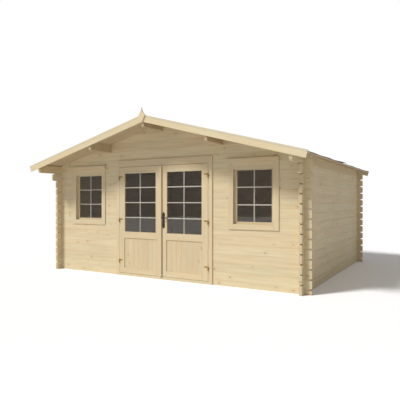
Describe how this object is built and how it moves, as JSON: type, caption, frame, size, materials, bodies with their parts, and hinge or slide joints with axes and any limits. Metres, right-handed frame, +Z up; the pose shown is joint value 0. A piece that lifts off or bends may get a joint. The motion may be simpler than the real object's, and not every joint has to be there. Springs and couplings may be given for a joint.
{
  "type": "log garden shed",
  "caption": "Log-built garden shed with a low gable roof, a glazed double door and a window on each side of it.",
  "frame": {"origin": "on the ground, at the centre of the building's overall box", "axes": "+X to the right seen from the front, +Y from the doors to the back, +Z up"},
  "size_m": [5.04, 4.49, 2.6584],
  "materials": {
    "pine": "planed, untreated",
    "floor_pine": "planed, untreated",
    "felt": "mineral felt",
    "glass": "clear",
    "brass": "satin",
    "dark_iron": "dark satin"
  },
  "bodies": {
    "shell": {"back_bargeboard_left": "pine", "back_bargeboard_right": "pine", "back_finial": "pine", "back_gable": "pine", "back_wall": "pine", "door_frame": "pine", "door_trim": "pine", "floor_bearers": "floor_pine", "floor_boards": "floor_pine", "frame_hinges": "brass", "front_bargeboard_left": "pine", "front_bargeboard_right": "pine", "front_finial": "pine", "front_gable": "pine", "front_wall_left": "pine", "front_wall_right": "pine", "left_eave_log": "pine", "left_purlin": "pine", "left_wall": "pine", "left_window_frame": "pine", "left_window_glass": "glass", "left_window_sash": "pine", "left_window_trim": "pine", "ridge_purlin": "pine", "right_eave_log": "pine", "right_purlin": "pine", "right_wall": "pine", "right_window_frame": "pine", "right_window_glass": "glass", "right_window_sash": "pine", "right_window_trim": "pine", "roof_boards_left": "pine", "roof_boards_right": "pine", "roofing_felt_left": "felt", "roofing_felt_right": "felt"},
    "left_door": {"left_door_frame": "pine", "left_door_glass": "glass", "left_door_panel": "pine", "left_door_hinges": "brass"},
    "right_door": {"right_door_frame": "pine", "right_door_glass": "glass", "right_door_panel": "pine", "right_door_hinges": "brass", "handle_plates": "dark_iron"},
    "lever": {"door_lever": "dark_iron"}
  },
  "joints": [
    {"name": "left_door_hinge", "type": "hinge", "parent": "shell", "child": "left_door", "pos_m": [-0.8595, -1.742, 0], "axis": [0, 0, -1], "range_deg": [0, 120]},
    {"name": "right_door_hinge", "type": "hinge", "parent": "shell", "child": "right_door", "pos_m": [0.8595, -1.742, 0], "axis": [0, 0, 1], "range_deg": [0, 120]},
    {"name": "lever_turn", "type": "hinge", "parent": "right_door", "child": "lever", "pos_m": [0.049, -1.711, 0.985], "axis": [0, 1, 0], "range_deg": [0, 40], "stiffness_Nm_per_rad": 1, "springref_deg": -28.65}
  ]
}
